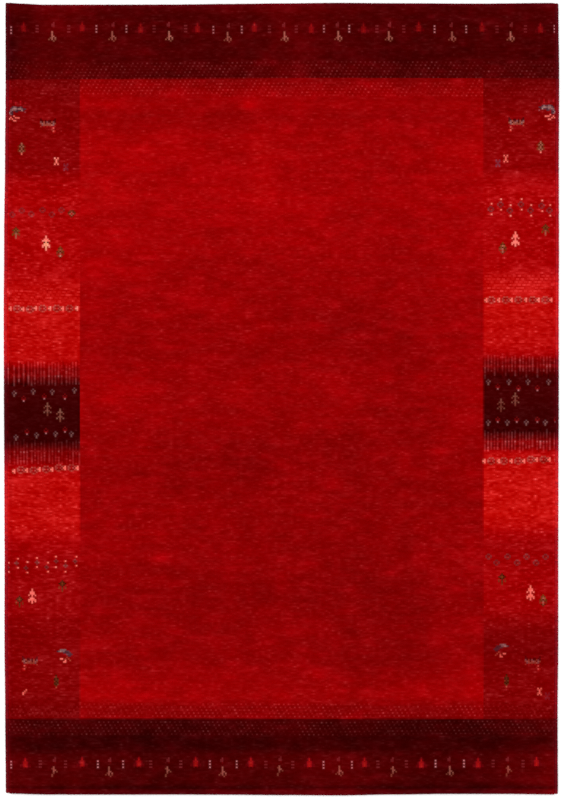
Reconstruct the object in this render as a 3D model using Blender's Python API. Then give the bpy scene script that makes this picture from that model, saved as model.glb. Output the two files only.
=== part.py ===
"""Gabbeh rug: one knotted pile cloth lying flat, with a wrapped edge cord along each long side.

The rug lies on its flat underside. +X points to its right edge, +Y to its top end, +Z up.
The origin is on the floor at the middle of the rug. All sizes are in metres unless a name says mm.
"""
import math

import bmesh
import bpy
from mathutils import Vector

# Overall size, measured over the edge cords
RUG_WIDTH = 1.401
RUG_LENGTH = 1.9995
# Moves the uneven outline so that its bounding box is centred on the origin
SHIFT_X = 0.00045
SHIFT_Y = -0.00018

# The cloth: foundation and pile together
CLOTH_THICKNESS = 0.0140
PILE_SWELL = 0.0007        # how far the trimmed pile rises and falls from its mean height
GRID_ACROSS = 26           # cells across the cloth
GRID_ALONG = 38            # cells along the cloth
CLOTH_CORNER_RADIUS = 0.0065
PILE_EDGE_RADIUS = 0.0050
BACK_EDGE_RADIUS = 0.0012
EDGE_SEGMENTS = 3

# The wrapped edge cord
CORD_WIDTH = 0.0080
CORD_HEIGHT = 0.0100
CORD_FLAT = 0.0012         # how much of the cord's round section is pressed flat against the floor
CORD_SIDES = 12
CORD_GAP = 0.0003          # clear space between the cloth and its cord
CORD_END_INSET = 0.0012    # the cord stops this far short of the cloth's end
CORD_TIP = (
    # share of the side, fullness of the section: the cord's end is rounded off
    (0.0, 0.45), (0.0012, 0.80), (0.0030, 1.0),
)

MM = 0.001

# How far each edge stands out from a straight line, in mm, at a share of the way along it.
# The sides run from the bottom end to the top end, the ends from the left side to the right.
LEFT_EDGE = (
    # share, out_mm
    (0.00, -3.0), (0.10, -1.5), (0.20, 0.3), (0.30, 0.0), (0.40, 0.8), (0.50, 1.8),
    (0.60, 2.3), (0.70, 1.3), (0.80, -1.0), (0.90, -2.5), (1.00, -2.3),
)
RIGHT_EDGE = (
    # share, out_mm
    (0.00, -1.8), (0.10, -2.5), (0.20, -1.0), (0.30, -1.0), (0.40, -0.5), (0.50, 0.5),
    (0.60, 0.3), (0.70, 1.0), (0.80, 0.6), (0.90, 1.4), (1.00, -0.5),
)
TOP_END = (
    # share, out_mm
    (0.00, 3.3), (0.03, 0.6), (0.07, -2.3), (0.20, -2.3), (0.30, -2.0), (0.40, -0.4),
    (0.50, 1.0), (0.60, 2.3), (0.70, 1.3), (0.85, 0.4), (1.00, 2.0),
)
BOTTOM_END = (
    # share, out_mm
    (0.00, -2.5), (0.08, 0.0), (0.20, 0.3), (0.30, 0.0), (0.40, 0.5), (0.50, 1.6),
    (0.60, 2.3), (0.70, 0.0), (0.80, -1.5), (0.90, -1.5), (1.00, 0.0),
)

# Slow swells of the trimmed pile: waves across, waves along, phase, share of PILE_SWELL
SWELLS = (
    (1.3, 2.1, 0.4, 0.45),
    (2.6, 1.2, 1.9, 0.30),
    (0.7, 4.3, 3.1, 0.25),
)

CLOTH_COLOUR = (0.33, 0.006, 0.008, 1.0)
CORD_COLOUR = (0.24, 0.006, 0.030, 1.0)
WOOL_ROUGHNESS = 0.9


def clear_scene():
    for old in list(bpy.data.objects):
        bpy.data.objects.remove(old, do_unlink=True)


def collection(name, hidden=False):
    made = bpy.data.collections.new(name)
    bpy.context.scene.collection.children.link(made)
    made.hide_render = hidden
    return made


def wool(name, colour):
    material = bpy.data.materials.new(name)
    material.use_nodes = True
    shader = material.node_tree.nodes["Principled BSDF"]
    shader.inputs["Base Color"].default_value = colour
    shader.inputs["Roughness"].default_value = WOOL_ROUGHNESS
    shader.inputs["Metallic"].default_value = 0.0
    material.diffuse_color = colour
    return material


def stands_out(edge, share):
    """The edge's offset in metres at this share of its way, eased smoothly from row to row."""
    share = min(max(share, 0.0), 1.0)
    for (start, out_a), (end, out_b) in zip(edge, edge[1:]):
        if share <= end:
            t = (share - start) / (end - start)
            ease = t * t * (3.0 - 2.0 * t)
            return (out_a + (out_b - out_a) * ease) * MM
    return edge[-1][1] * MM


def swell(u, v):
    """How far the pile's top stands above or below its mean height at the share (u, v)."""
    total = sum(
        share * math.sin(2.0 * math.pi * (across * u + along * v) + phase)
        for across, along, phase, share in SWELLS
    )
    return PILE_SWELL * total


def outer_point(u, v):
    """A point of the rug's plan at the share u across and v along, over the edge cords."""
    left = SHIFT_X - RUG_WIDTH / 2.0 - stands_out(LEFT_EDGE, v)
    right = SHIFT_X + RUG_WIDTH / 2.0 + stands_out(RIGHT_EDGE, v)
    bottom = SHIFT_Y - RUG_LENGTH / 2.0 - stands_out(BOTTOM_END, u)
    top = SHIFT_Y + RUG_LENGTH / 2.0 + stands_out(TOP_END, u)
    return left + (right - left) * u, bottom + (top - bottom) * v


def cloth_point(u, v):
    """The same for the cloth alone, which ends where its two cords begin."""
    beside = CORD_WIDTH + CORD_GAP
    left = outer_point(0.0, v)[0] + beside
    right = outer_point(1.0, v)[0] - beside
    x = left + (right - left) * u
    return x, outer_point((x - SHIFT_X) / RUG_WIDTH + 0.5, v)[1]


def build_cloth(home, material):
    """A grid warped to the outline, thickened into a slab, with its rims rounded by bevels."""
    bpy.ops.mesh.primitive_grid_add(
        x_subdivisions=GRID_ACROSS, y_subdivisions=GRID_ALONG, size=2.0)
    cloth = bpy.context.object
    cloth.name = "rug"
    cloth.data.name = "rug"
    move_to(cloth, home)

    bm = bmesh.new()
    bm.from_mesh(cloth.data)
    for vert in bm.verts:
        u = (vert.co.x + 1.0) / 2.0
        v = (vert.co.y + 1.0) / 2.0
        vert.co = Vector((*cloth_point(u, v), 0.0))

    lifted = bmesh.ops.extrude_face_region(bm, geom=list(bm.faces))["geom"]
    for item in lifted:
        if isinstance(item, bmesh.types.BMVert):
            item.co.z = CLOTH_THICKNESS
    bmesh.ops.recalc_face_normals(bm, faces=bm.faces)

    upright = [e for e in bm.edges if is_upright(e)]
    corners = [e for e in upright if is_corner(e)]
    bmesh.ops.bevel(
        bm, geom=corners, offset=CLOTH_CORNER_RADIUS, segments=EDGE_SEGMENTS,
        profile=0.5, affect='EDGES')
    round_rim(bm, CLOTH_THICKNESS, PILE_EDGE_RADIUS)
    round_rim(bm, 0.0, BACK_EDGE_RADIUS)

    for vert in bm.verts:
        height = vert.co.z / CLOTH_THICKNESS
        u = vert.co.x / RUG_WIDTH + 0.5
        v = vert.co.y / RUG_LENGTH + 0.5
        vert.co.z += swell(u, v) * height
    bm.to_mesh(cloth.data)
    bm.free()
    cloth.data.materials.append(material)
    return cloth


def is_upright(edge):
    a, b = (vert.co for vert in edge.verts)
    return abs(a.z - b.z) > CLOTH_THICKNESS / 2.0


def is_corner(edge):
    """True for the four upright edges where a side of the slab meets an end."""
    x, y = edge.verts[0].co.x, edge.verts[0].co.y
    beside = RUG_WIDTH / 2.0 - 2.0 * CORD_WIDTH
    return abs(x) > beside and abs(y) > RUG_LENGTH / 2.0 - CORD_WIDTH


def round_rim(bm, height, radius):
    """Bevels the loop of edges where the slab's wall meets its face at this height."""
    rim = [
        edge for edge in bm.edges
        if all(abs(vert.co.z - height) < CLOTH_THICKNESS / 100.0 for vert in edge.verts)
        and any(abs(face.normal.z) < 0.5 for face in edge.link_faces)
    ]
    bmesh.ops.bevel(
        bm, geom=rim, offset=radius, segments=EDGE_SEGMENTS, profile=0.5, affect='EDGES')


def cord_section():
    """The cord's oval section, flattened where it is pressed against the floor."""
    section = []
    for step in range(CORD_SIDES):
        turn = 2.0 * math.pi * (step + 0.5) / CORD_SIDES
        across = math.cos(turn) / math.cos(math.pi / CORD_SIDES)
        across = max(-1.0, min(1.0, across))
        z = (1.0 + math.sin(turn)) / 2.0 * (CORD_HEIGHT + CORD_FLAT) - CORD_FLAT
        section.append((across * CORD_WIDTH / 2.0, max(0.0, z)))
    return section


def cord_stations():
    """Where along the rug the cord has a section, and how full that section is."""
    rows = list(CORD_TIP)
    rows += [(row / GRID_ALONG, 1.0) for row in range(1, GRID_ALONG)]
    rows += [(1.0 - share, full) for share, full in reversed(CORD_TIP)]
    return rows


def build_cord(name, side, home, material):
    """Sweeps the section along one long side; side is -1 for the left and 1 for the right."""
    bm = bmesh.new()
    section = cord_section()
    rings = []
    for v, full in cord_stations():
        x, y = outer_point((1.0 + side) / 2.0, v)
        if full < 1.0:
            y -= math.copysign(CORD_END_INSET, v - 0.5)
        centre = x - side * CORD_WIDTH / 2.0
        tall = (1.0 + full) / 2.0
        rings.append([
            bm.verts.new((centre + across * full, y, z * tall)) for across, z in section
        ])
    for ring, following in zip(rings, rings[1:]):
        for i in range(CORD_SIDES):
            j = (i + 1) % CORD_SIDES
            bm.faces.new((ring[i], ring[j], following[j], following[i]))
    bm.faces.new(rings[0])
    bm.faces.new(rings[-1])
    bmesh.ops.recalc_face_normals(bm, faces=bm.faces)
    mesh = bpy.data.meshes.new(name)
    bm.to_mesh(mesh)
    bm.free()
    cord = bpy.data.objects.new(name, mesh)
    home.objects.link(cord)
    mesh.materials.append(material)
    return cord


def move_to(obj, home):
    for old in list(obj.users_collection):
        old.objects.unlink(obj)
    home.objects.link(obj)


def build():
    clear_scene()
    home = collection("gabbeh_rug")
    cloth = build_cloth(home, wool("rug_wool", CLOTH_COLOUR))
    cord_wool = wool("cord_wool", CORD_COLOUR)
    for name, side in (("selvedge_left", -1), ("selvedge_right", 1)):
        cord = build_cord(name, side, home, cord_wool)
        cord.parent = cloth


build()
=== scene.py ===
"""The look of the gabbeh rug: a knotted wool pile with its woven design, the knotted back and
the two wrapped edge cords, laid on a pale floor and seen from straight above.

Every knot is a small tuft of mesh with its own colour. The design is laid out in chart units:
x runs from the left edge of the sheet and y down from its top, and one unit is CHART_UNIT.
"""
import math

import bpy
import numpy as np
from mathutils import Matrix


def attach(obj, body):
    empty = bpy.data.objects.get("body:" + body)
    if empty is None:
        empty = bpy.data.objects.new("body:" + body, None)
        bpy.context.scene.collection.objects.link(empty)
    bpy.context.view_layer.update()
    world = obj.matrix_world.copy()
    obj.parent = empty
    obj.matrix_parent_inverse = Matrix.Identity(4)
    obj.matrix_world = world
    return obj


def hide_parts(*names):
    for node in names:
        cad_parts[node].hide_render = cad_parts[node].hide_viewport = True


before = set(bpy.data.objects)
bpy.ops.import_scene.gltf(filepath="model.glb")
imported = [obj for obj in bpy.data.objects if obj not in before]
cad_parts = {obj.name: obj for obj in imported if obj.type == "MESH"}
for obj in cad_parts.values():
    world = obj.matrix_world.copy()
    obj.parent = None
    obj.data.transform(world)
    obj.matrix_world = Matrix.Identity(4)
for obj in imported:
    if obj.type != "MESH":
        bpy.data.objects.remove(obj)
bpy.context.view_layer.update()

MM = 0.001

# The rug's plan, as in the part's source
RUG_WIDTH = 1.401
RUG_LENGTH = 1.9995
SHIFT_X = 0.00045
SHIFT_Y = -0.00018
CLOTH_THICKNESS = 0.0140
PILE_SWELL = 0.0007
CORD_WIDTH = 0.0080
CORD_HEIGHT = 0.0100
CORD_GAP = 0.0003

# How far each edge stands out from a straight line: share of the way along it, mm
LEFT_EDGE = (
    (0.00, -3.0), (0.10, -1.5), (0.20, 0.3), (0.30, 0.0), (0.40, 0.8), (0.50, 1.8),
    (0.60, 2.3), (0.70, 1.3), (0.80, -1.0), (0.90, -2.5), (1.00, -2.3),
)
RIGHT_EDGE = (
    (0.00, -1.8), (0.10, -2.5), (0.20, -1.0), (0.30, -1.0), (0.40, -0.5), (0.50, 0.5),
    (0.60, 0.3), (0.70, 1.0), (0.80, 0.6), (0.90, 1.4), (1.00, -0.5),
)
TOP_END = (
    (0.00, 3.3), (0.03, 0.6), (0.07, -2.3), (0.20, -2.3), (0.30, -2.0), (0.40, -0.4),
    (0.50, 1.0), (0.60, 2.3), (0.70, 1.3), (0.85, 0.4), (1.00, 2.0),
)
BOTTOM_END = (
    (0.00, -2.5), (0.08, 0.0), (0.20, 0.3), (0.30, 0.0), (0.40, 0.5), (0.50, 1.6),
    (0.60, 2.3), (0.70, 0.0), (0.80, -1.5), (0.90, -1.5), (1.00, 0.0),
)
SWELLS = (
    # waves across, waves along, phase, share
    (1.3, 2.1, 0.4, 0.45), (2.6, 1.2, 1.9, 0.30), (0.7, 4.3, 3.1, 0.25),
)

# Knots
KNOT_WIDE = 0.0040
KNOT_LONG = 0.0038
TUFT_RISE = 0.0010          # how far a tuft's tip stands above the valleys round it
TUFT_UNEVEN = 0.00010       # how far single tips rise and fall; the valleys do so half as much
ROW_UNEVEN = 0.00009        # how far rows of tips and of valleys rise and fall
KNOT_WANDER = 0.00012       # how far a tip strays sideways
VALLEY_WANDER = 0.6         # how much of that a valley strays
LEAN = 0.0006               # the pile leans towards the bottom end
CORNER_ROUND = 0.0040       # the plan's corners are rounded over this distance
LOWEST_TIP = 0.4 * MM
LOWEST_VALLEY = 0.2 * MM
TINY_LENGTH = 1e-9          # these two keep divisions away from zero
TINY_AREA = 1e-12

# The pile's side, from the floor up over its rounded rim
PILE_RIM = (
    # run_mm, inset_mm, height_mm
    (0.0, 2.4, 0.5), (3.2, 0.7, 3.0), (6.6, 0.0, 6.3), (10.0, 0.5, 9.6),
    (13.0, 2.2, 12.1), (16.4, 5.2, 13.6), (20.2, 9.0, 14.0),
)

# Chart
CHART_UNIT = 0.0025250
CHART_MIDDLE_X = 281.6      # where the rug's middle lies on the chart
CHART_MIDDLE_Y = 399.05
FIELD_LEFT = 80.0
FIELD_RIGHT = 483.4
BOTTOM_BORDER = 718.8
TOP_BORDER = ((5, 79.7), (80, 79.2), (280, 77.8), (480, 78.2), (555, 78.5))  # x, y

# How strong the red dye is down the field and the two side panels
FIELD_DYE = (
    # y, level
    (78, 131), (92, 147), (103, 155), (116, 148), (135, 158), (150, 163), (170, 160),
    (195, 166), (215, 160), (250, 158), (275, 154), (330, 148), (352, 147), (390, 151),
    (415, 148), (445, 142), (470, 141), (505, 146), (560, 143), (592, 136), (630, 141),
    (660, 143), (686, 155), (697, 157), (703, 147), (707, 137), (718, 132),
)
LEFT_DYE = (
    (78, 112), (90, 121), (120, 131), (150, 136), (168, 138), (182, 163), (200, 173),
    (210, 168), (225, 171), (258, 173), (275, 172), (286, 184), (300, 191), (345, 189),
    (359, 185), (363, 175), (366, 158), (369, 136), (375, 132), (378, 113), (381, 98),
    (384, 76), (387, 66), (410, 58), (440, 57), (443, 66), (447, 90), (450, 114),
    (453, 129), (458, 131), (461, 143), (465, 158), (470, 175), (480, 188), (522, 189),
    (533, 182), (541, 166), (560, 152), (590, 149), (612, 148), (620, 139), (645, 134),
    (690, 131), (703, 124), (707, 119), (718, 117),
)
RIGHT_DYE = (
    (78, 106), (90, 118), (120, 136), (150, 141), (168, 144), (178, 160), (192, 171),
    (215, 166), (240, 167), (268, 171), (284, 190), (310, 195), (330, 187), (345, 185),
    (352, 174), (356, 158), (360, 130), (363, 118), (365, 126), (367, 124), (369, 106),
    (372, 95), (375, 78), (378, 66), (395, 67), (415, 59), (429, 59), (432, 67), (435, 90),
    (438, 106), (441, 138), (446, 136), (449, 150), (451, 171), (455, 184), (468, 195),
    (514, 198), (526, 186), (533, 170), (545, 154), (575, 161), (598, 161), (609, 157),
    (618, 145), (632, 127), (650, 120), (680, 130), (700, 128), (707, 122), (718, 116),
)
# How the dye varies in the two borders, across them and down them
TOP_BORDER_ACROSS = (
    # x, level
    (5, 58), (13, 70), (24, 78), (45, 89), (75, 91), (100, 82), (120, 79), (190, 78),
    (250, 82), (280, 89), (300, 88), (350, 78), (400, 72), (430, 72), (480, 75), (530, 74),
    (558, 73),
)
TOP_BORDER_DYE = (
    # y, share of the level
    (5, 1.12), (10, 1.08), (17, 0.98), (30, 1.00), (50, 0.97), (60, 0.98), (66, 1.06),
    (78, 1.04),
)
BOTTOM_BORDER_ACROSS = (
    # x, share of the level
    (4, 1.26), (9, 1.10), (20, 1.01), (40, 0.97), (75, 1.02), (130, 0.94), (185, 0.91), (250, 1.01),
    (330, 1.08), (370, 1.01), (430, 0.91), (480, 0.93), (500, 1.00), (520, 1.09), (538, 1.16),
    (549, 1.28), (556, 1.30),
)
BOTTOM_BORDER_DYE = (
    # y, level
    (718, 67), (735, 65), (737, 59), (748, 62), (755, 77), (762, 82), (770, 78), (778, 77),
    (784, 74), (787, 60), (788, 62), (790, 82), (792, 88), (796, 88),
)
# How the field's dye varies across it, and where broad patches of the field and of the two ends
# are stronger or weaker in dye
FIELD_ACROSS = (
    # x, level added
    (80, 6), (120, 4), (165, 1), (210, -1), (290, -1), (330, -2), (370, -5), (410, -5),
    (445, 1), (485, 3),
)
PATCHES = (
    # x, y, half width, half height, level added
    (262, 148, 16, 70, 9), (100, 255, 40, 50, 4), (255, 468, 28, 30, -8), (455, 575, 24, 55, 7),
    (400, 645, 45, 28, -5), (352, 325, 60, 22, -4), (160, 590, 70, 30, 3), (390, 455, 40, 24, 5),
)
END_PATCHES = (
    (10, 50, 10, 11, -12), (10, 10, 14, 5, 9), (450, 20, 30, 6, -6), (365, 56, 40, 8, -5),
    (45, 783, 45, 7, 9), (90, 748, 80, 11, -5), (440, 744, 50, 9, 9), (548, 728, 12, 6, -8),
)

# Red dye as a colour: the shares of green and blue in it, and how much of each is added for every
# level above SCARLET_FROM, where the red turns to scarlet
SCARLET_FROM = 166.0
GREEN_SHARE, GREEN_ABOVE = 0.016, 0.42
BLUE_SHARE, BLUE_ABOVE = 0.032, 0.20

# Yarn colours, as they look in the finished rug, 0 to 255
YARN = {
    "w": (216, 134, 138),   # rose white
    "n": (158, 122, 116),   # pale grey
    "d": (150, 60, 66),     # dusty rose
    "p": (255, 150, 118),   # peach
    "k": (255, 112, 100),   # pink
    "t": (160, 92, 72),     # tan
    "f": (204, 130, 112),   # flax
    "o": (116, 70, 28),     # olive
    "b": (88, 44, 20),      # brown
    "h": (62, 24, 8),       # dark brown
    "a": (126, 44, 22),     # faint brown
    "s": (120, 92, 94),     # slate
    "g": (70, 40, 50),      # dark slate
    "v": (124, 54, 72),     # violet
    "u": (118, 60, 62),     # umber
    "l": (176, 128, 104),   # lichen
    "y": (176, 96, 86),     # clay
    "r": (166, 16, 22),     # red
    "R": (190, 26, 22),     # scarlet
    "q": (104, 6, 12),      # crimson
    "m": (126, 12, 14),     # madder
    "x": (66, 8, 10),       # shadow
    "e": (168, 58, 44),     # rust
}

# The figures, one letter for the yarn of each knot. A dot leaves the ground as it is.
CHARTS = {
    "fir": (
        "...q...",
        "..qrq..",
        "..qRq..",
        ".qrrrq.",
        ".qrRrq.",
        "qqrRrqq",
        "qqrRrqq",
        "..q.q..",
    ),
    "foot": (
        "..f..",
        "..f..",
        "..f..",
        "..ff.",
        ".tf.f",
        "t.f.t",
        "...t.",
    ),
    "foot turned": (
        "..f..",
        ".tf..",
        "..ff.",
        "..f.t",
        "..t..",
        ".t...",
        ".t...",
    ),
    "three": ("w", ".", "w", ".", "w"),
    "faint three": ("dd", "..", "dd", "..", "dd"),
    "haze": (".d", "dd", "dd", ".m"),
    "goat": (
        ".r..m..r..m",
        ".r.mr..rm.r",
        ".m..r.mr..m",
        "...........",
        "..gssggsg..",
        ".gsnnsnnsgg",
        ".snssgggng.",
        "gsg.gg....d",
        "ngg........",
        "dsg........",
        "...k.......",
        ".k..kkk....",
        "kek........",
        "...kk......",
    ),
    "kid": (
        "....ssss...",
        "..gggssnsg.",
        ".ggggg.....",
        "gggg.......",
        ".gg........",
        "...e.......",
        "..e.e.kk...",
        ".e..k......",
        "....kk.....",
    ),
    "comb": (
        "x........x",
        "xx.x.xx.xx",
        "sxtxsxxtsx",
        "tntxtntxnt",
        ".stttttfs.",
        "e.r.r.r.rr",
        ".......rk.",
        ".......er.",
        "........kR",
        "........Rr",
    ),
    "bush": (
        "..t..",
        ".btb.",
        "atbta",
        ".btb.",
        "abtba",
        "atbta",
        "..t..",
        "..k..",
    ),
    "dark bush": (
        ".h.",
        ".b.",
        "hbh",
        "hbh",
        "ahb",
        "hbh",
        "bhb",
        ".b.",
        ".e.",
    ),
    "cross": ("k.k", "eke", ".k.", "eke", "k.k"),
    "half cross": ("..k", ".ke", "ke.", "k.."),
    "dot": ("Rk",),
    "smudge": ("v.v", "vvv", ".v.", "vvv", "v.v"),
    "ring": (".uu.", "ummu", "umeu", ".uu."),
    "small ring": (".u.", "ubu", ".um"),
    "eyelet": (".bbb.", "bbtbb", "bt.tb", ".btb.", "..b.."),
    "tree": (
        "..k..",
        "..k..",
        ".kkk.",
        "kkpkk",
        ".xpx.",
        ".ppp.",
        "kpppk",
        "k.p.k",
        "..p..",
        "..k..",
    ),
    "fern": (
        "..k..",
        "..k..",
        ".kkk.",
        ".kkk.",
        "k.k.k",
        "..k..",
        ".kkk.",
        "kkkkk",
        "k.k.k",
        "..k..",
    ),
    "sapling": (
        "..l..",
        "..l..",
        ".lll.",
        "t.t.t",
        "..l..",
        ".tlt.",
        "l.l.l",
        "..t..",
        "..t..",
    ),
    "shrub": (
        "..b..",
        ".bob.",
        "bobob",
        ".bbb.",
        "aotoa",
        "o.t.a",
        "..t..",
        "..e..",
    ),
    "dark shrub": (
        "..h..",
        ".hbh.",
        "hbobh",
        ".hbh.",
        "a.h.a",
        "a.b.a",
        "..b..",
        "..a..",
    ),
    "leaf": (
        "..o..",
        ".bob.",
        ".oto.",
        "boxob",
        "abtba",
        "a.t.a",
        ".btb.",
        "..b..",
    ),
    "oval": ("ek", "kk", "ek"),
    "eye": (".yey.", "ymmmy", "yy.ym", "ymmmy", ".eye."),
    "gem": (".s.", "s.n", "gng", ".n."),
    "red gem": (".m.", "m.m", "mrm", ".w."),
}

COVER_UNEVEN = 0.008        # how unevenly a chart's knots cover the ground
SHADE_UNEVEN = 0.02         # how uneven the shades of their yarns are

# Where each chart is worked along the two ends: chart, y, places across, strength
END_WEAKEST = 0.85          # each is worked at a strength from this share up to the whole
END_ROWS = (
    ("fir", 27.4, (23.6, 82.9, 140.9, 197.9, 255.1, 310.5, 363.5, 419.0, 482.1, 540.2), 0.52),
    ("haze", 25.6, (52.9, 112.2, 169.0, 228.3, 284.1, 338.0, 389.3, 451.3, 510.8), 0.45),
    ("foot", 36.8, (52.9, 169.0, 284.1, 338.0, 510.8), 0.66),
    ("foot", 36.8, (112.2, 228.3, 389.3, 451.3), 0.55),
    ("three", 29.4, (10.8, 96.6, 126.5, 213.2, 241.3, 323.9, 349.7, 434.9, 466.1, 554.0), 0.68),
    ("faint three", 29.4, (37.9, 68.0, 154.3, 185.0, 270.1, 296.9, 376.7, 404.3, 496.8, 525.9), 0.45),
    ("fir", 762.3, (25.5, 82.4, 139.2, 195.5, 251.2, 310.0, 364.2, 420.8, 478.0, 537.2), 0.80),
    ("haze", 760.0, (53.7, 109.7, 167.3, 222.1, 279.5, 338.8, 392.8, 449.5, 508.0), 0.42),
    ("foot turned", 771.4, (53.7, 167.3, 279.5, 392.8, 508.0), 0.50),
    ("foot", 771.4, (109.7, 222.1, 338.8, 449.5), 0.50),
    ("three", 764.2, (10.9, 97.9, 123.3, 210.0, 236.9, 323.3, 351.8, 435.2, 464.1), 0.75),
    ("faint three", 764.2, (40.6, 65.5, 151.2, 180.2, 265.2, 293.3, 378.0, 406.3, 493.8, 522.3), 0.45),
)

# The rows of small forms in the side panels: chart, strength, the bright dots over and under each
# (none, or their strength and how far away they are), then (x, y) of each
PANEL_ROWS = (
    ("ring", 0.46, None, (
        (12.1, 214.4), (21.9, 210.2), (31.9, 214.7), (42.1, 210.2), (51.7, 214.2), (62.1, 209.7))),
    ("eyelet", 0.72, None, ((71.6, 213.4),)),
    ("ring", 0.60, (0.95, 5.3), (
        (490.7, 209.3), (500.6, 205.1), (510.6, 210.2), (520.7, 205.1), (530.9, 210.2),
        (540.8, 205.9), (550.1, 210.6))),
    ("small ring", 0.62, (0.85, 4.7), (
        (7.9, 567.6), (17.2, 562.9), (26.5, 567.4), (36.6, 562.1), (46.6, 566.9), (55.7, 561.8),
        (65.4, 566.4), (75.0, 561.2))),
    ("ring", 0.55, None, (
        (487.9, 557.0), (506.8, 557.0), (526.1, 557.2), (545.9, 557.3), (497.1, 562.3),
        (517.0, 562.5), (536.4, 562.6), (554.8, 562.8))),
    ("oval", 0.92, None, (
        (10.6, 309.2), (22.7, 309.1), (36.1, 309.0), (49.5, 308.6), (62.8, 308.4), (76.5, 308.0),
        (485.7, 300.2), (498.7, 300.2), (511.9, 300.3), (525.9, 300.2), (538.9, 300.1),
        (551.4, 300.2), (13.4, 470.7), (26.8, 470.2), (39.8, 469.5), (52.3, 468.8), (65.1, 468.2),
        (77.8, 467.6), (484.7, 460.4), (497.8, 460.4), (511.1, 460.3), (523.9, 460.3),
        (536.6, 460.2), (548.5, 460.0))),
    ("eye", 0.55, None, (
        (17.9, 309.0), (30.2, 308.9), (42.7, 308.7), (56.1, 308.4), (69.5, 308.2), (491.7, 300.2),
        (505.4, 300.2), (518.9, 300.2), (533.2, 300.2), (544.6, 300.2), (20.4, 470.4),
        (33.4, 469.9), (46.2, 469.2), (58.7, 468.5), (72.1, 467.9), (491.3, 460.4), (504.5, 460.4),
        (517.6, 460.3), (530.2, 460.2), (543.0, 460.1), (554.8, 460.0))),
    ("gem", 0.52, None, (
        (13.6, 394.2), (33.5, 392.3), (52.9, 391.7), (73.7, 391.0), (16.6, 437.6), (36.4, 435.7),
        (54.8, 434.6), (71.8, 433.8), (488.5, 382.1), (508.7, 382.1), (527.4, 382.2),
        (547.8, 382.3), (487.9, 422.3), (507.7, 422.4), (526.8, 422.5), (545.9, 422.6))),
    ("red gem", 0.60, None, (
        (6.4, 401.2), (24.2, 398.0), (43.6, 396.8), (64.4, 396.1), (7.0, 433.1), (26.5, 431.2),
        (45.3, 430.6), (64.4, 429.3), (498.3, 387.3), (518.2, 387.3), (537.6, 387.4),
        (557.4, 387.5), (497.4, 419.0), (517.0, 419.0), (537.0, 419.1), (555.5, 419.2))),
)

# Single figures: chart, x, y, strength, and whether it is mirrored
FIGURES = (
    ("goat", 17.0, 111.2, 0.80),
    ("comb", 48.6, 125.2, 0.66),
    ("bush", 21.9, 149.0, 0.85),
    ("cross", 57.1, 160.7, 0.95),
    ("smudge", 65.8, 166.5, 0.50),
    ("goat", 547.0, 110.0, 0.82, True),
    ("comb", 516.4, 124.8, 0.72, True),
    ("bush", 541.2, 147.6, 0.85),
    ("cross", 506.3, 158.4, 0.80),
    ("smudge", 497.9, 162.6, 0.65),
    ("shrub", 16.6, 233.5, 0.85),
    ("tree", 45.9, 242.8, 1.0),
    ("leaf", 59.9, 252.6, 0.75),
    ("shrub", 545.3, 229.7, 0.80),
    ("fern", 515.5, 239.2, 1.0),
    ("leaf", 502.2, 247.4, 0.78),
    ("sapling", 46.8, 409.6, 0.46, True),
    ("sapling", 59.9, 415.2, 0.50),
    ("sapling", 515.3, 399.3, 0.44),
    ("sapling", 501.3, 405.8, 0.38, True),
    ("dark shrub", 61.6, 585.2, 0.80),
    ("fern", 32.1, 595.7, 0.86),
    ("dark shrub", 19.1, 601.5, 0.80),
    ("dark shrub", 501.7, 579.7, 0.80),
    ("fern", 530.9, 592.8, 0.88),
    ("leaf", 543.6, 600.2, 0.75),
    ("kid", 63.7, 656.0, 0.84, True),
    ("comb", 29.3, 664.0, 0.58, True),
    ("dark bush", 56.6, 681.8, 0.85),
    ("half cross", 24.8, 691.9, 0.72),
    ("kid", 502.0, 651.0, 0.66),
    ("comb", 532.4, 663.0, 0.48),
    ("dark bush", 506.2, 681.4, 0.80),
    ("cross", 539.8, 690.9, 0.66),
    ("smudge", 547.7, 695.8, 0.32),
)

# Bands of diagonal dots: y from, y to, slope (1 is like a slash), how many knots wide a dot is,
# and how much paler than the ground in each of HATCHED_PARTS, in display levels
HATCHES = (
    (61.5, 79.0, 1, 1, (18, 18, 18)),
    (80.5, 96.0, 1, 1, (11, 18, 10)),
    (704.0, 718.0, -1, 1, (13, 18, 12)),
    (720.0, 736.0, -1, 1, (17, 17, 17)),
    (289.0, 304.0, 1, 2, (14, 0, 0)),
    (275.0, 293.0, 1, 2, (0, 0, 16)),
)
HATCHED_PARTS = ((5, 80), (80, 484), (484, 559))    # x from, x to
DOT_PITCH = 3               # knots from one dot to the next in a row

# How unevenly the dots and the teeth stand out: the mean share, then for broad and for fine
# patches how strong they are and how many knots long and wide, then the largest share
DOTS_UNEVEN = (0.85, 0.2, (5, 9), 0.4, (1, 2), 1.8)
TEETH_UNEVEN = (1.0, 0.3, (5, 1), 0.4, (1.5, 1), 2.0)

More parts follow.
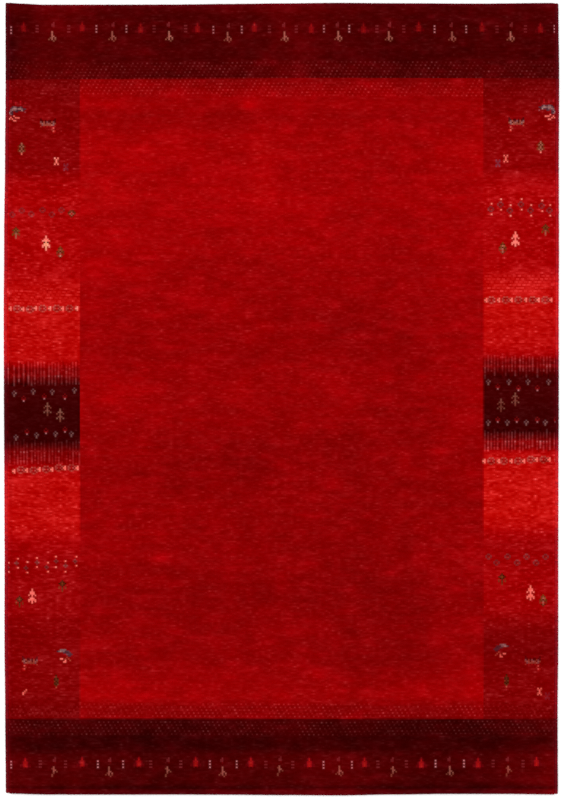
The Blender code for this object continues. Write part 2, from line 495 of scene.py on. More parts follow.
# Comb edges of the dark bands: panel, y of the edge nearer the light band, of the dotted line
# and of the edge nearer the dark band, how much the teeth in each half stand out in display
# levels, and the share of the dark half that only every third tooth crosses
COMBS = (
    ("left", 362.5, 376.0, 385.0, 17, 19, 0.0),
    ("right", 356.5, 366.0, 377.0, 17, 19, 0.5),
    ("left", 464.0, 451.5, 440.0, 16, 12, 0.2),
    ("right", 450.5, 441.5, 430.0, 22, 17, 0.2),
)
TOOTH_PITCH = 2.2           # knots from one tooth to the next; each tooth is one knot wide
SPARSE_STEP = 3.0           # the teeth's spacing where only every third one crosses
BROAD_PITCH = 3.3           # the tooth pitch in the upper left comb, left of BROAD_TEETH
BROAD_TEETH = 31.0
BROAD_DEPTH = 1.5           # how much more the broad teeth stand out
GAP_DEPTH = 0.8             # how far the gaps sink below the ground for a tooth's 1 above it
TOOTH_PALER = (0.66, 1.0, 1.0)  # teeth are not only redder than the gaps, but also paler
RAGGED = 1.2                # how many chart units the combs' edges stray
RAGGED_SIZE = (30, 1)       # knots long and wide over which they stray alike
DOTTED_LINE = 20            # how much the dotted line's dots stand out, in display levels
DOTTED_HALF = 0.8           # half the height of the dotted line, in chart units

# How uneven the dye is, as flecks and patches of several sizes: knots long, knots wide, their
# strength in display levels in the field, the two ends and a mid-red side panel, and how much of
# that goes to green and blue too. Small flecks are paler, partly as painted glints of the fibres;
# large patches are only redder.
GRAIN = (
    (1, 2, 4.5, 3.4, 8.8, 1.00, 1.00),
    (1.3, 7, 2.2, 1.8, 2.0, 0.45, 0.55),
    (1, 30, 1.1, 0.9, 1.0, 0.00, 0.00),
    (3, 5, 3.0, 3.6, 2.0, 0.20, 0.35),
    (3.5, 12, 2.9, 2.2, 3.4, 0.10, 0.25),
    (7, 11, 4.0, 3.8, 3.0, 0.00, 0.12),
    (20, 36, 2.5, 2.2, 1.7, 0.00, 0.05),
)
FLECK_SKEW = 0.20           # light flecks stand out more than dark ones, partly as painted glints
PANEL_PALER = 0.75          # how much of a panel's patches are pale like the small flecks
PANEL_LEVEL = 165.0         # a panel's flecks grow with its dye, and are as above at this level

# The rug's rims. Widths and distances are in chart units.
EDGE_PURPLE = (0, 5, 15)    # the outermost knots share the edge cords' purple tinge
EDGE_FADE = 2.6
CREASE_SHADE = 0.03               # a faint line of painted shade just inside the cords
CREASE_AT = 3.4
CREASE_WIDE = 1.2
BESIDE_CORD = 0.13          # painted light on the knots that lean on the cord, as if they catch more light
BESIDE_CORD_WIDE = 1.1
DARK_LEVEL = 100.0          # dye weaker than this is a dark band
DARK_RIM = 0.22             # the dark bands turn redder towards the cords
DARK_RIM_FADE = 3.0

# How the yarn takes the light, and the painted shade and light on its tufts and outlines
CRISP = 0.22                # painted shade and light along outlines: how much the knots' colours stand out from those round them
LIGHT_GAIN = 1.225          # what the scene's light makes of a white surface
VALLEY_SHADE = 0.95         # painted shade: yarn is painted darker between the tufts
TIP_HIGHLIGHT = 1.035           # and painted highlight: lighter at their tips
BLEED = 0.35                # how much of a tuft's foot shows its neighbours' colour

# The pile's pieces
TOP_CUT = 79.0              # chart y where the top end's piece meets the field
BOTTOM_CUT = 719.0
FIELD_PARTS = 3

# The knotted back
BACK_STEP = 3               # knots of the pile to one knot of the back, each way
BACK_LOW, BACK_HIGH = 0.15 * MM, 2.4 * MM   # heights of its underside and its top
BACK_INSET = 2.0 * MM
BACK_BUMP = 0.10 * MM
BACK_SHADE = 0.72
BACK_TINGE = (0.012, 0.008, 0.006)  # the foundation between the knots, in linear colour

# The wrapped edge cords: their shape
WRAP_PITCH = 3.4 * MM       # one turn of the wrapping
WRAP_STATIONS = 4           # sections to a turn
WRAP_SIDES = 10
WRAP_GROOVE = 0.07          # depth of the groove between turns, as a share of the girth
WRAP_SLANT = 0.35           # how many turns the yarn slants from one side of the cord to the other
WRAP_UNEVEN = 0.030         # how uneven the turns' girths are
CORD_FLAT = 0.0012          # how much of the round section is pressed flat against the floor
CORD_FULLER = 0.0014        # the wrapping bulges against the pile beside it
CORD_LOW = 0.15 * MM
CORD_SPAN = (0.0008, 0.9992)    # the shares of the side where the cord starts and stops
CORD_TIP = 0.62             # how full the cord is at its very ends
CORD_TIP_LONG = 4.0 * MM    # where it has become whole

# The wrapped edge cords: their colour
CORD_SHADE = 1.02
CORD_INNER = 0.22           # painted light: how much lighter the side towards the pile is painted, as it is in shade
CORD_DARK_LIFT = 0.40       # how far the cord keeps from following the darkest bands
TURN_UNEVEN = 0.05          # how uneven the turns' dye is
GROOVE_SHADE = 0.07         # painted shade: how much darker the grooves between them are painted
CORD_PURPLE = (4, 13, 21)   # the cords' tinge where the dye is at CORD_PURPLE_LEVEL
CORD_PURPLE_LEVEL = 110.0
CORD_PURPLE_RANGE = (0.4, 1.2)  # the least and most of the tinge, in weaker and stronger dye

# Wool: scale of the fibres, how they are stretched, depth of their relief, strength of the sheen
PILE_WOOL = (900.0, (1.0, 0.45, 1.0), 0.6 * MM, 0.05)
BACK_WOOL = (500.0, (1.0, 1.0, 1.0), 0.4 * MM, 0.02)
CORD_WOOL = (1100.0, (1.0, 0.5, 1.0), 0.4 * MM, 0.05)
WOOL_ROUGHNESS = 0.95
SHEEN_ROUGHNESS = 0.55
SHEEN_TINT = (1.0, 0.06, 0.08, 1.0)
FIBRE_DETAIL = 3.0
FIBRE_FROM = (0.3, 0.7)     # the fibres' noise from here to here
FIBRE_TO = (0.93, 1.07)     # becomes this share of the yarn's colour
RELIEF = 0.35               # strength of the relief

# Floor and light
FLOOR_SIZE = 14.0
FLOOR_COLOUR = (0.93, 0.93, 0.93, 1.0)
FLOOR_ROUGHNESS = 0.9
FLOOR_SHINE = 0.1
SKY_COLOUR = (1.0, 1.0, 1.0, 1.0)
SKY_STRENGTH = 0.95
LAMP_STRENGTH = 1.25
LAMP_SPREAD = 50.0          # degrees
LAMP_TILT = (-16.0, -14.0)  # degrees about x and y

# Camera: one chart unit is one pixel wide in a picture of this size
FRAME_WIDE, FRAME_HIGH = 565, 800
LENS = 85.0
SENSOR = 36.0               # spans the picture's height
PILE_TOP = 13.0 * MM        # the height at which the scale is exact

SEED = 20


# The outline
def curve(table, at):
    """The value of a two-column table at this place, straight from row to row."""
    places, values = zip(*table)
    return np.interp(at, places, values)


def eased(t):
    return t * t * (3.0 - 2.0 * t)


def stands_out(edge, share):
    """An edge's offset in metres, eased from row to row of its table."""
    shares, outs = (np.array(column) for column in zip(*edge))
    share = np.clip(share, 0.0, 1.0)
    row = np.clip(np.searchsorted(shares, share, side="left") - 1, 0, len(shares) - 2)
    t = (share - shares[row]) / (shares[row + 1] - shares[row])
    return (outs[row] + (outs[row + 1] - outs[row]) * eased(t)) * MM


def outer_point(u, v):
    """A point of the plan at the share u across and v along, over the edge cords."""
    left = SHIFT_X - RUG_WIDTH / 2.0 - stands_out(LEFT_EDGE, v)
    right = SHIFT_X + RUG_WIDTH / 2.0 + stands_out(RIGHT_EDGE, v)
    bottom = SHIFT_Y - RUG_LENGTH / 2.0 - stands_out(BOTTOM_END, u)
    top = SHIFT_Y + RUG_LENGTH / 2.0 + stands_out(TOP_END, u)
    return left + (right - left) * u, bottom + (top - bottom) * v


def cloth_point(u, v):
    """The same for the cloth alone, which ends where its two cords begin."""
    beside = CORD_WIDTH + CORD_GAP
    left = outer_point(0.0, v)[0] + beside
    right = outer_point(1.0, v)[0] - beside
    x = left + (right - left) * u
    return x, outer_point((x - SHIFT_X) / RUG_WIDTH + 0.5, v)[1]


def swell(x, y):
    """How far the trimmed pile stands above or below its mean height."""
    total = 0.0
    for across, along, phase, share in SWELLS:
        turn = across * (x / RUG_WIDTH + 0.5) + along * (y / RUG_LENGTH + 0.5)
        total = total + share * np.sin(2.0 * np.pi * turn + phase)
    return PILE_SWELL * total


# The grid of knots
RIM_RUN, RIM_INSET, RIM_HEIGHT = (np.array(column) * MM for column in zip(*PILE_RIM))
CLOTH_WIDTH = RUG_WIDTH - 2.0 * (CORD_WIDTH + CORD_GAP)


def lines_across(size, pitch):
    """Inset and height of the grid lines, from one side's foot over the top to the other's."""
    wall = RIM_RUN[-1] - RIM_INSET[-1]
    whole = size + 2.0 * wall
    run = np.linspace(0.0, whole, int(round(whole / pitch)) + 1)
    near = np.minimum(run, whole - run)
    inset = np.where(near < RIM_RUN[-1], np.interp(near, RIM_RUN, RIM_INSET), near - wall)
    height = np.interp(near, RIM_RUN, RIM_HEIGHT)
    return inset, height


across_inset, across_height = lines_across(CLOTH_WIDTH, KNOT_WIDE)
along_inset, along_height = lines_across(RUG_LENGTH, KNOT_LONG)
COLUMNS, ROWS = len(across_inset) - 1, len(along_inset) - 1
rng = np.random.default_rng(SEED)


def plan(inset_x, inset_y, right, bottom):
    """World x and y at these insets from the nearest side and end, with the corners rounded."""
    deep_x = np.clip(CORNER_ROUND - inset_x, 0.0, None)
    deep_y = np.clip(CORNER_ROUND - inset_y, 0.0, None)
    both = (deep_x > 0.0) & (deep_y > 0.0)
    longest = np.maximum(deep_x, deep_y)
    squeeze = np.where(both, longest / np.hypot(deep_x + TINY_LENGTH, deep_y), 1.0)
    inset_x = np.where(both, CORNER_ROUND - deep_x * squeeze, inset_x)
    inset_y = np.where(both, CORNER_ROUND - deep_y * squeeze, inset_y)
    u = inset_x / CLOTH_WIDTH
    v = inset_y / RUG_LENGTH
    return cloth_point(np.where(right, 1.0 - u, u), np.where(bottom, v, 1.0 - v))


def grid_of(rows, columns):
    """Base surface at the crossings of these grid lines, given as indices that may be halves."""
    def at(values, where):
        return np.interp(where, np.arange(len(values)), values)

    inset_y, inset_x = np.meshgrid(at(along_inset, rows), at(across_inset, columns), indexing="ij")
    heights = np.meshgrid(at(along_height, rows), at(across_height, columns), indexing="ij")
    bottom, right = np.meshgrid(rows > ROWS / 2.0, columns > COLUMNS / 2.0, indexing="ij")
    x, y = plan(inset_x, inset_y, right, bottom)
    z = np.minimum(*heights) * (1.0 + swell(x, y) / CLOTH_THICKNESS)
    return np.stack([x, y, z], axis=-1)


def outward(points):
    """The unit normals of a grid of points."""
    down = np.gradient(points, axis=0)
    across = np.gradient(points, axis=1)
    normal = np.cross(down, across)
    return normal / np.maximum(np.linalg.norm(normal, axis=-1, keepdims=True), TINY_AREA)


def drift(rows, columns, shape=None):
    """Smooth noise with patches this many knots long and wide, about 1 in size."""
    high, wide = shape or (ROWS, COLUMNS)
    coarse = rng.standard_normal((int(high / rows) + 3, int(wide / columns) + 3))

    def ways(count, size):
        at = np.arange(count) / size
        low = at.astype(int)
        return low, eased(at - low)

    low_r, t_r = ways(high, rows)
    low_c, t_c = ways(wide, columns)
    upper = coarse[low_r][:, low_c] * (1 - t_c) + coarse[low_r][:, low_c + 1] * t_c
    lower = coarse[low_r + 1][:, low_c] * (1 - t_c) + coarse[low_r + 1][:, low_c + 1] * t_c
    return upper * (1 - t_r[:, None]) + lower * t_r[:, None]


def strays(shape, share=1.0):
    """How far knots stray sideways, in x and y."""
    return KNOT_WANDER * rng.standard_normal(shape + (2,)) * share


def valley_points():
    """The corners between the tufts."""
    base = grid_of(np.arange(ROWS + 1.0), np.arange(COLUMNS + 1.0))
    lift = ROW_UNEVEN * rng.standard_normal((ROWS + 1, 1))
    lift = lift + TUFT_UNEVEN * 0.5 * drift(1, 1, (ROWS + 1, COLUMNS + 1))
    points = base + outward(base) * (lift - TUFT_RISE * 0.5)[..., None]
    points[..., :2] += strays(base.shape[:2], VALLEY_WANDER)
    points[..., 2] = np.maximum(points[..., 2], LOWEST_VALLEY)
    return points


def tip_points(middle):
    """The tips of the tufts over the middles of their knots."""
    rise = TUFT_RISE * 0.5 + TUFT_UNEVEN * rng.standard_normal((ROWS, COLUMNS))
    rise += ROW_UNEVEN * drift(1, 9)
    points = middle + outward(middle) * rise[..., None]
    points[..., :2] += strays(middle.shape[:2])
    points[..., 1] -= LEAN
    points[..., 2] = np.maximum(points[..., 2], LOWEST_TIP)
    return points


MIDDLE = grid_of(np.arange(ROWS) + 0.5, np.arange(COLUMNS) + 0.5)
valleys = valley_points()
tips = tip_points(MIDDLE)

# The design, knot by knot
CX = (MIDDLE[..., 0] - SHIFT_X) / CHART_UNIT + CHART_MIDDLE_X
CY = CHART_MIDDLE_Y - (MIDDLE[..., 1] - SHIFT_Y) / CHART_UNIT
ROW, COLUMN = np.meshgrid(np.arange(ROWS), np.arange(COLUMNS), indexing="ij")


def past(away, knot):
    """How much of a knot lies past an edge this far away from its middle, from 0 to 1."""
    return np.clip(away * CHART_UNIT / knot + 0.5, 0.0, 1.0)


of_left = past(FIELD_LEFT - CX, KNOT_WIDE)
of_right = past(CX - FIELD_RIGHT, KNOT_WIDE)
of_top = past(curve(TOP_BORDER, CX) - CY, KNOT_LONG)
of_bottom = past(CY - BOTTOM_BORDER, KNOT_LONG)
of_ends = np.maximum(of_top, of_bottom)


def row_at(y, column=None):
    """The row of knots nearest to this height on the chart."""
    column = COLUMNS // 2 if column is None else column
    return int(np.argmin(np.abs(CY[:, column] - y)))


def column_at(x, row=None):
    row = ROWS // 2 if row is None else row
    return int(np.argmin(np.abs(CX[row] - x)))


def patches(table):
    """Soft round patches, as levels added."""
    return sum(
        added * np.exp(-((CX - x) / wide) ** 2 - ((CY - y) / high) ** 2)
        for x, y, wide, high, added in table
    )


def border_dye(x, y):
    """The dye of the top and of the bottom border at these places."""
    top = curve(TOP_BORDER_DYE, y) * curve(TOP_BORDER_ACROSS, x)
    bottom = curve(BOTTOM_BORDER_DYE, y) * curve(BOTTOM_BORDER_ACROSS, x)
    return top, bottom


def dye_levels():
    """How strong the red dye of every knot is."""
    field = curve(FIELD_DYE, CY) + curve(FIELD_ACROSS, CX) + patches(PATCHES)
    top, bottom = border_dye(CX, CY)
    level = field + (curve(LEFT_DYE, CY) - field) * of_left
    level = level + (curve(RIGHT_DYE, CY) - level) * of_right
    level = level + (top - level) * of_top
    level = level + (bottom - level) * of_bottom
    return level + patches(END_PATCHES) * of_ends


def yarn_of(level):
    """Red dye of this strength as a colour, 0 to 255."""
    above = np.clip(level - SCARLET_FROM, 0.0, None)
    green = level * GREEN_SHARE + above * GREEN_ABOVE
    blue = level * BLUE_SHARE + above * BLUE_ABOVE
    return np.stack([level, green, blue], axis=-1)


level = dye_levels()
colour = yarn_of(level)     # the functions below work the design into this


def uneven_share(mean, broad, broad_size, fine, fine_size, most):
    """How unevenly a design stands out from knot to knot."""
    return np.clip(mean + broad * drift(*broad_size) + fine * drift(*fine_size), 0.0, most)


def work_hatches():
    """Bands of dots in every other row, each dot a step to the side of the one before."""
    patchy = uneven_share(*DOTS_UNEVEN)
    for low, high, slope, wide, strengths in HATCHES:
        in_dot = (COLUMN + slope * (ROW // 2)) % DOT_PITCH < wide
        dots = (CY > low) & (CY < high) & (ROW % 2 == 0) & in_dot
        for (x_from, x_to), paler in zip(HATCHED_PARTS, strengths):
            here = dots & (CX > x_from) & (CX < x_to)
            colour[:] = colour + (here * patchy * paler)[..., None]


def teeth(pitch):
    """The columns that hold a comb's tooth, for teeth this many knots apart."""
    return np.isin(COLUMN, np.round(np.arange(0.0, COLUMNS, pitch)))


def work_combs():
    """Uneven teeth across both halves of each comb, with a dotted line between the halves."""
    uneven = uneven_share(*TEETH_UNEVEN)[..., None] * TOOTH_PALER
    ragged = RAGGED * drift(*RAGGED_SIZE)
    for panel, light_edge, dotted, dark_edge, in_light, in_dark, sparse in COMBS:
        inside = CX < FIELD_LEFT if panel == "left" else CX > FIELD_RIGHT
        low, high = min(light_edge, dark_edge), max(light_edge, dark_edge)
        band = inside & (CY > low + ragged) & (CY < high + ragged)
        past_dots = (CY - dotted) / (dark_edge - dotted)
        broad = (CX < BROAD_TEETH) & (panel == "left") & (light_edge < dotted)
        tooth = np.where(broad, teeth(BROAD_PITCH), teeth(TOOTH_PITCH))
        tooth = np.where(past_dots > 1.0 - sparse, teeth(SPARSE_STEP * TOOTH_PITCH), tooth)
        depth = np.where(past_dots > 0.0, in_dark, in_light) * band
        depth = depth * np.where(tooth, 1.0, -GAP_DEPTH) * np.where(broad, BROAD_DEPTH, 1.0)
        colour[:] = colour + depth[..., None] * uneven
        line = inside & (np.abs(CY - dotted) < DOTTED_HALF)
        colour[:] = colour + (line * (COLUMN % 2) * DOTTED_LINE)[..., None] * uneven


def place(chart, x, y, strength, mirrored=False):
    """Works a chart centred on this place, with each knot's yarn a little uneven."""
    lines = CHARTS[chart]
    row = row_at(y, column_at(x))
    column = column_at(x, row)
    across = (x - CX[row, column]) * CHART_UNIT / KNOT_WIDE + column
    along = (y - CY[row, column]) * CHART_UNIT / KNOT_LONG + row
    left = int(round(across - (len(lines[0]) - 1) / 2.0))
    top = int(round(along - (len(lines) - 1) / 2.0))
    for r, line in enumerate(lines):
        for c, mark in enumerate(line[::-1] if mirrored else line):
            here = (top + r, left + c)
            uneven = rng.standard_normal()
            if mark == "." or not (0 <= here[0] < ROWS and 0 <= here[1] < COLUMNS):
                continue
            share = min(1.0, strength * (1.0 + COVER_UNEVEN * uneven))
            dyed = np.array(YARN[mark], float) * (1.0 + SHADE_UNEVEN * uneven)
            colour[here] = colour[here] * (1.0 - share) + dyed * share


def work_figures():
    """The rows of figures in the two ends and the side panels, then the single ones."""
    for chart, y, places, strength in END_ROWS:
        for x in places:
            share = END_WEAKEST + (1.0 - END_WEAKEST) * rng.random()
            place(chart, x, y, strength * share)
    for chart, strength, dots, places in PANEL_ROWS:
        for x, y in places:
            place(chart, x, y, strength)
            if dots:
                dot_strength, away = dots
                place("dot", x, y - away, dot_strength)
                place("dot", x, y + away, dot_strength)
    for figure in FIGURES:
        place(*figure)


def work_edges():
    """The cords' purple tinge in the outermost knots, and painted shade and light along the sides:
    a faint shaded line inside the cords, and lighter knots beside them.
    """
    inset = np.minimum(CX - CX[:, :1], CX[:, -1:] - CX)
    away = np.minimum(inset + CORD_WIDTH / CHART_UNIT, np.minimum(CY - CY[:1], CY[-1:] - CY))
    tinge = np.exp(-away / EDGE_FADE)[..., None]
    colour[:] = colour + tinge * EDGE_PURPLE
    # Painted shade in a faint line just inside the cords, and painted light on the knots beside them
    crease_shade = np.exp(-((inset - CREASE_AT) / CREASE_WIDE) ** 2)[..., None]
    beside_cord = np.exp(-(inset / BESIDE_CORD_WIDE) ** 2)[..., None]
    colour[:] = colour * (1.0 - CREASE_SHADE * crease_shade + BESIDE_CORD * beside_cord)
    below = np.clip(DARK_LEVEL - level, 0.0, None)
    colour[..., 0] += below * DARK_RIM * np.exp(-inset / DARK_RIM_FADE)


def with_rim(values):
    """The knots' values, with those of the outermost knots repeated once all round."""
    return np.pad(values, ((1, 1), (1, 1), (0, 0)), mode="edge")


def crispen():
    """Painted shade and light along the design's outlines, where tufts of different yarns part a
    little: each knot is pushed away from the colour round it, so each outline looks sharper.
    """
    wider = with_rim(colour)
    around = sum(
        wider[1 + i:ROWS + 1 + i, 1 + j:COLUMNS + 1 + j] for i in (-1, 0, 1) for j in (-1, 0, 1)
    ) / 9.0
    colour[:] = colour + CRISP * (colour - around)


def grain():
    """Uneven spinning and dyeing, with painted glints of the fibres in the paler flecks, as an offset
    in display levels: short flecks lying across the rug, in patches, stronger in the side panels."""
    panels = np.maximum(of_left, of_right) * (1.0 - of_ends)
    paler = PANEL_PALER * panels
    offset = np.zeros((ROWS, COLUMNS, 3))
    for rows, columns, in_field, in_ends, in_panels, green, blue in GRAIN:
        flecks = drift(rows, columns)
        flecks = flecks + FLECK_SKEW * (flecks ** 2 - 0.5)
        amount = in_field + (in_ends - in_field) * of_ends
        amount = amount + (in_panels * level / PANEL_LEVEL - amount) * panels
        green, blue = green + (1.0 - green) * paler, blue + (1.0 - blue) * paler
        offset += (amount * flecks)[..., None] * np.stack([np.ones_like(paler), green, blue], -1)
    return offset


def linear(colour_255):
    """Display colour, 0 to 255, to the shader's linear colour."""
    c = np.clip(np.asarray(colour_255, float) / 255.0, 0.0, 1.0)
    return np.where(c <= 0.04045, c / 12.92, ((c + 0.055) / 1.055) ** 2.4)


work_hatches()
work_combs()
work_figures()
work_edges()
crispen()
yarn = linear(np.clip(colour + grain(), 0.0, 255.0)) / LIGHT_GAIN
wider_yarn = with_rim(yarn)
shared = sum(wider_yarn[i:i + ROWS + 1, j:j + COLUMNS + 1] for i in (0, 1) for j in (0, 1)) / 4.0


# The meshes
def new_mesh(name, points, triangles):
    """A piece made of these triangles."""
    mesh = bpy.data.meshes.new(name)
    mesh.vertices.add(len(points))
    mesh.vertices.foreach_set("co", np.asarray(points, np.float32).ravel())
    mesh.loops.add(triangles.size)
    mesh.loops.foreach_set("vertex_index", triangles.astype(np.int32).ravel())
    mesh.polygons.add(len(triangles))
    mesh.polygons.foreach_set("loop_start", np.arange(0, triangles.size, 3, dtype=np.int32))
    mesh.update(calc_edges=True)
    piece = bpy.data.objects.new(name, mesh)
    bpy.context.scene.collection.objects.link(piece)
    return piece


def paint(mesh, domain, colours):
    """Gives every point or every corner of the mesh its yarn colour."""
    layer = mesh.color_attributes.new("yarn", 'FLOAT_COLOR', domain)
    rgba = np.ones((len(colours), 4), np.float32)
    rgba[:, :3] = colours
    layer.data.foreach_set("color", rgba.ravel())


def unwrap(mesh, corner_uv):
    layer = mesh.uv_layers.new(name="OFBake")
    layer.data.foreach_set("uv", np.asarray(corner_uv, np.float32).ravel())


FEET = ((0, 0), (0, 1), (1, 1), (1, 0))     # row and column of a tuft's four feet
TUFT_SIDES = ((0, 3), (3, 2), (2, 1), (1, 0))   # the two feet under each of its faces


def pile_piece(name, r0, r1, c0, c1):
    """The tufts of these rows and columns: four faces a knot, from its four feet to its tip."""
    rows, columns = r1 - r0, c1 - c0
    feet = valleys[r0:r1 + 1, c0:c1 + 1].reshape(-1, 3)
    heads = tips[r0:r1, c0:c1].reshape(-1, 3)

    def at_feet(values):
        return [values[i:i + rows, j:j + columns] for i, j in FEET]

    index = at_feet(np.arange(len(feet)).reshape(rows + 1, columns + 1))
    tip = len(feet) + np.arange(len(heads)).reshape(rows, columns)
    fan = np.stack([np.stack([index[i], index[j], tip], -1) for i, j in TUFT_SIDES], 2)
    piece = new_mesh(name, np.concatenate([feet, heads]), fan.reshape(-1, 3))

    own = yarn[r0:r1, c0:c1]
    # Painted shade at each tuft's four feet, on its yarn mixed with its neighbours', and a painted
    # highlight at its tip
    foot = [
        (own * (1 - BLEED) + beside * BLEED) * VALLEY_SHADE
        for beside in at_feet(shared[r0:r1 + 1, c0:c1 + 1])
    ]
    top = own * TIP_HIGHLIGHT
    corners = np.stack([np.stack([foot[i], foot[j], top], 2) for i, j in TUFT_SIDES], 2)
    paint(piece.data, 'CORNER', corners.reshape(-1, 3))

    v, u = np.meshgrid(
        1.0 - np.arange(rows + 1) / rows, np.arange(columns + 1) / columns, indexing="ij")
    foot_uv = np.stack([u, v], -1)
    tip_uv = foot_uv[:-1, :-1] + (0.5 / columns, -0.5 / rows)
    spots = np.concatenate([foot_uv.reshape(-1, 2), tip_uv.reshape(-1, 2)])
    unwrap(piece.data, spots[fan.reshape(-1)])
    return piece


def pile_pieces():
    """The pile of the two ends, the two side panels, and the field in FIELD_PARTS parts."""
    top, bottom = row_at(TOP_CUT), row_at(BOTTOM_CUT)
    left, right = column_at(FIELD_LEFT), column_at(FIELD_RIGHT)
    pieces = [
        pile_piece("pile_top_end", 0, top, 0, COLUMNS),
        pile_piece("pile_bottom_end", bottom, ROWS, 0, COLUMNS),
        pile_piece("pile_left_panel", top, bottom, 0, left),
        pile_piece("pile_right_panel", top, bottom, right, COLUMNS),
    ]
    cuts = [int(cut) for cut in np.linspace(top, bottom, FIELD_PARTS + 1)]
    for number, (start, stop) in enumerate(zip(cuts, cuts[1:])):
        pieces.append(pile_piece(f"pile_field_{number + 1}", start, stop, left, right))
    return pieces


def split_faces(a, b, c, d):
    """Two triangles for every face with these four corners."""
    return [np.stack(corners, -1).reshape(-1, 3) for corners in ((a, b, c), (a, c, d))]


def back_piece():
    """A closed sheet under the pile. Its underside shows the design as coarse rows of knots."""
    rows = np.arange(0, ROWS + 1, BACK_STEP)
    columns = np.arange(0, COLUMNS + 1, BACK_STEP)
    high, wide = len(rows), len(columns)
    inset_y = np.linspace(BACK_INSET, RUG_LENGTH - BACK_INSET, high)
    inset_x = np.linspace(BACK_INSET, CLOTH_WIDTH - BACK_INSET, wide)
    x, y = cloth_point(inset_x[None, :] / CLOTH_WIDTH, 1.0 - inset_y[:, None] / RUG_LENGTH)
    x, y = np.broadcast_to(x, (high, wide)), np.broadcast_to(y, (high, wide))
    bumps = BACK_BUMP * (1.0 + np.clip(drift(1, 1, (high, wide)), -1.0, 1.0))
    under = np.stack([x, y, BACK_LOW + bumps], -1).reshape(-1, 3)
    above = np.stack([x, y, np.full((high, wide), BACK_HIGH)], -1).reshape(-1, 3)

    index = np.arange(high * wide).reshape(high, wide)
    over = high * wide
    faces = split_faces(index[:-1, :-1], index[:-1, 1:], index[1:, 1:], index[1:, :-1])
    faces += [face[:, ::-1] + over for face in faces]
    rim = np.concatenate([index[0, :-1], index[:-1, -1], index[-1, :0:-1], index[:0:-1, 0]])
    after = np.roll(rim, -1)
    faces.append(np.stack([rim, rim + over, after], -1))
    faces.append(np.stack([after, rim + over, after + over], -1))
    piece = new_mesh("knotted_back", np.concatenate([under, above]), np.concatenate(faces))

    near_rows = np.clip(rows, 0, ROWS - 1)
    near_columns = np.clip(columns, 0, COLUMNS - 1)
    worn = yarn[near_rows][:, near_columns].reshape(-1, 3) * BACK_SHADE + BACK_TINGE
    paint(piece.data, 'POINT', np.concatenate([worn, worn]))
    return piece


def cord_dye(y, side):
    """The cord is wrapped in the colours of the rug beside it."""
    x = CHART_MIDDLE_X + side * RUG_WIDTH / 2.0 / CHART_UNIT
    top, bottom = border_dye(x, y)
    dyed = curve(LEFT_DYE if side < 0 else RIGHT_DYE, y)
    dyed = np.where(y < curve(TOP_BORDER, x), top, dyed)
    return np.where(y > BOTTOM_BORDER, bottom, dyed)


def cord_piece(name, side):
    """A yarn wrapped round and round the outer warps, with a groove between each turn."""
    turns = int(RUG_LENGTH / WRAP_PITCH)
    stations = turns * WRAP_STATIONS
    v = np.linspace(*CORD_SPAN, stations + 1)
    x, y = outer_point((1.0 + side) / 2.0, v)
    x = x - side * (CORD_WIDTH + CORD_FULLER) / 2.0
    from_end = np.minimum(v, 1.0 - v) * RUG_LENGTH
    rounding = np.sqrt(np.clip(from_end / CORD_TIP_LONG, 0.0, 1.0))
    full = (CORD_TIP + (1.0 - CORD_TIP) * rounding)[:, None]

    angle = 2.0 * np.pi * (np.arange(WRAP_SIDES) + 0.5) / WRAP_SIDES
    steps = np.arange(stations + 1)[:, None] / WRAP_STATIONS
    along = steps + WRAP_SLANT * np.cos(angle) / 2.0
    groove = (0.5 + 0.5 * np.cos(2.0 * np.pi * along)) ** 2
    turn = np.clip(np.floor(along + 0.5).astype(int), 0, turns)
    fat = 1.0 + WRAP_UNEVEN * rng.standard_normal(turns + 1)[turn]
    girth = (fat - WRAP_GROOVE * groove) * full
    half = (CORD_WIDTH + CORD_FULLER) / 2.0 / math.cos(math.pi / WRAP_SIDES)
    wide = np.cos(angle) * girth * half
    z = (1.0 + np.sin(angle) * girth) / 2.0 * (CORD_HEIGHT + CORD_FLAT) - CORD_FLAT
    z = np.maximum(z * (1.0 + full) / 2.0, CORD_LOW)
    ring = np.stack([x[:, None] + wide, np.broadcast_to(y[:, None], wide.shape), z], -1)

    points = ring.reshape(-1, 3)
    index = np.arange(len(points)).reshape(stations + 1, WRAP_SIDES)
    beside = np.roll(index, -1, axis=1)
    faces = split_faces(index[:-1], index[1:], beside[1:], beside[:-1])
    first, last = (np.full(WRAP_SIDES, len(points) + end) for end in (0, 1))
    faces.append(np.stack([first, index[0], beside[0]], -1))
    faces.append(np.stack([last, beside[-1], index[-1]], -1))
    centres = [ring[0].mean(0), ring[-1].mean(0)]
    piece = new_mesh(name, np.concatenate([points, centres]), np.concatenate(faces))

    chart_y = CHART_MIDDLE_Y - (y - SHIFT_Y) / CHART_UNIT
    dyed = cord_dye(chart_y, side) * CORD_SHADE
    dyed = dyed + CORD_DARK_LIFT * np.clip(DARK_LEVEL - dyed, 0.0, None)
    # Painted light on the side towards the pile, which lies in shade, and painted shade in the
    # grooves, over the turns' uneven dye
    inner = np.clip(-side * np.cos(angle), 0.0, 1.0)
    uneven = TURN_UNEVEN * rng.standard_normal(turns + 1)[turn] - GROOVE_SHADE * groove
    dyed = dyed[:, None] * (1.0 + uneven + CORD_INNER * inner)
    purple = np.clip(dyed / CORD_PURPLE_LEVEL, *CORD_PURPLE_RANGE)[..., None]
    tone = yarn_of(dyed) + np.array(CORD_PURPLE) * purple
    colours = (linear(tone) / LIGHT_GAIN).reshape(-1, 3)
    paint(piece.data, 'POINT', np.concatenate([colours, colours[:1], colours[-1:]]))
    return piece


pile = pile_pieces()
back = back_piece()
cords = {
    "selvedge_left": cord_piece("cord_wrap_left", -1),
    "selvedge_right": cord_piece("cord_wrap_right", 1),
}


# The wools
def put(node, values):
    for name, value in values.items():
        node.inputs[name].default_value = value
    return node


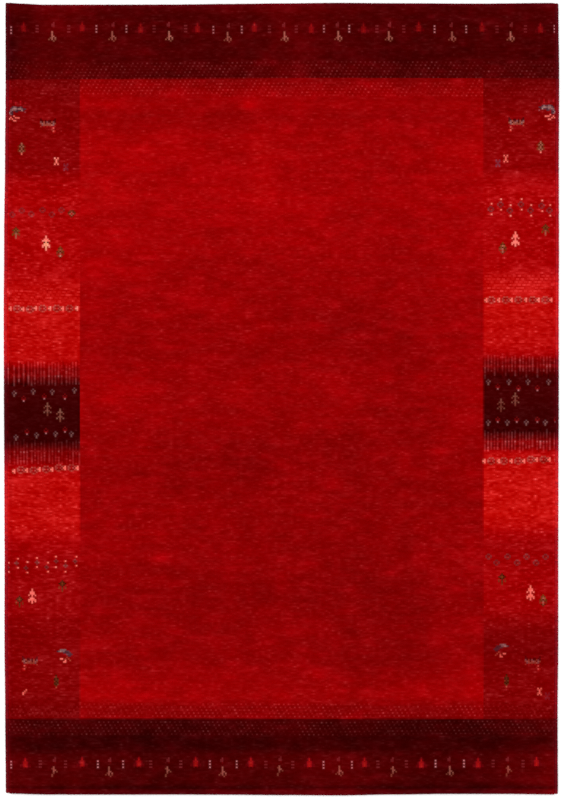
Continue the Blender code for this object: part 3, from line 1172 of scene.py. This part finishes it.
def wool(name, fibre_scale, stretch, relief_depth, sheen):
    """Matt yarn: the painted yarn colour, broken up by fine fibres, with a soft sheen."""
    material = bpy.data.materials.new(name)
    material.use_nodes = True
    nodes = material.node_tree.nodes

    def add(kind, values):
        return put(nodes.new("ShaderNode" + kind), values)

    shader = put(nodes["Principled BSDF"], {
        "Roughness": WOOL_ROUGHNESS,
        "Specular IOR Level": 0.0,
        "Sheen Weight": sheen,
        "Sheen Roughness": SHEEN_ROUGHNESS,
        "Sheen Tint": SHEEN_TINT,
    })
    painted = add("VertexColor", {})
    painted.layer_name = "yarn"
    where = add("TexCoord", {})
    stretched = add("Mapping", {"Scale": stretch})
    fibres = add("TexNoise", {"Scale": fibre_scale, "Detail": FIBRE_DETAIL})
    spread = add("MapRange", {
        "From Min": FIBRE_FROM[0], "From Max": FIBRE_FROM[1],
        "To Min": FIBRE_TO[0], "To Max": FIBRE_TO[1],
    })
    shaded = add("VectorMath", {})
    shaded.operation = 'SCALE'
    bump = add("Bump", {"Strength": RELIEF, "Distance": relief_depth})
    for source, output, target, socket in (
        (where, "Object", stretched, "Vector"),
        (stretched, "Vector", fibres, "Vector"),
        (fibres, "Fac", spread, "Value"),
        (painted, "Color", shaded, 0),
        (spread, "Result", shaded, "Scale"),
        (shaded, "Vector", shader, "Base Color"),
        (fibres, "Fac", bump, "Height"),
        (bump, "Normal", shader, "Normal"),
    ):
        material.node_tree.links.new(source.outputs[output], target.inputs[socket])
    return material


pile_wool = wool("pile_wool", *PILE_WOOL)
back_wool = wool("back_wool", *BACK_WOOL)
cord_wool = wool("cord_wool", *CORD_WOOL)

for piece in pile:
    piece.data.materials.append(pile_wool)
    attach(piece, "root")
    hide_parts("rug")
back.data.materials.append(back_wool)
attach(back, "root")
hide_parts("rug")
for node, piece in cords.items():
    piece.data.materials.append(cord_wool)
    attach(piece, "root")
    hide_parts(node)
    piece.data.shade_smooth()


# Floor, light and camera
def build_floor():
    bpy.ops.mesh.primitive_plane_add(size=FLOOR_SIZE)
    floor = bpy.context.object
    floor.name = "floor"
    material = bpy.data.materials.new("floor")
    material.use_nodes = True
    put(material.node_tree.nodes["Principled BSDF"], {
        "Base Color": FLOOR_COLOUR,
        "Roughness": FLOOR_ROUGHNESS,
        "Specular IOR Level": FLOOR_SHINE,
    })
    floor.data.materials.append(material)
    return floor


def add_light():
    """An even pale sky and one wide, soft lamp a little from the upper left."""
    world = bpy.data.worlds.new("studio")
    world.use_nodes = True
    put(world.node_tree.nodes["Background"], {"Color": SKY_COLOUR, "Strength": SKY_STRENGTH})
    bpy.context.scene.world = world
    lamp = bpy.data.lights.new("softbox", 'SUN')
    lamp.energy = LAMP_STRENGTH
    lamp.angle = math.radians(LAMP_SPREAD)
    softbox = bpy.data.objects.new("softbox", lamp)
    softbox.rotation_euler = (math.radians(LAMP_TILT[0]), math.radians(LAMP_TILT[1]), 0.0)
    bpy.context.scene.collection.objects.link(softbox)


def add_camera():
    """Straight above the rug, so that the picture shows the chart at its own scale."""
    camera_data = bpy.data.cameras.new("camera")
    camera_data.lens = LENS
    camera_data.sensor_width = SENSOR
    camera = bpy.data.objects.new("camera", camera_data)
    away = FRAME_HIGH * CHART_UNIT * LENS / SENSOR
    camera.location = (
        (FRAME_WIDE / 2.0 - CHART_MIDDLE_X) * CHART_UNIT + SHIFT_X,
        (CHART_MIDDLE_Y - FRAME_HIGH / 2.0) * CHART_UNIT + SHIFT_Y,
        PILE_TOP + away,
    )
    bpy.context.scene.collection.objects.link(camera)
    bpy.context.scene.camera = camera
    bpy.context.scene.view_settings.view_transform = 'Standard'


floor = build_floor()
add_light()
add_camera()
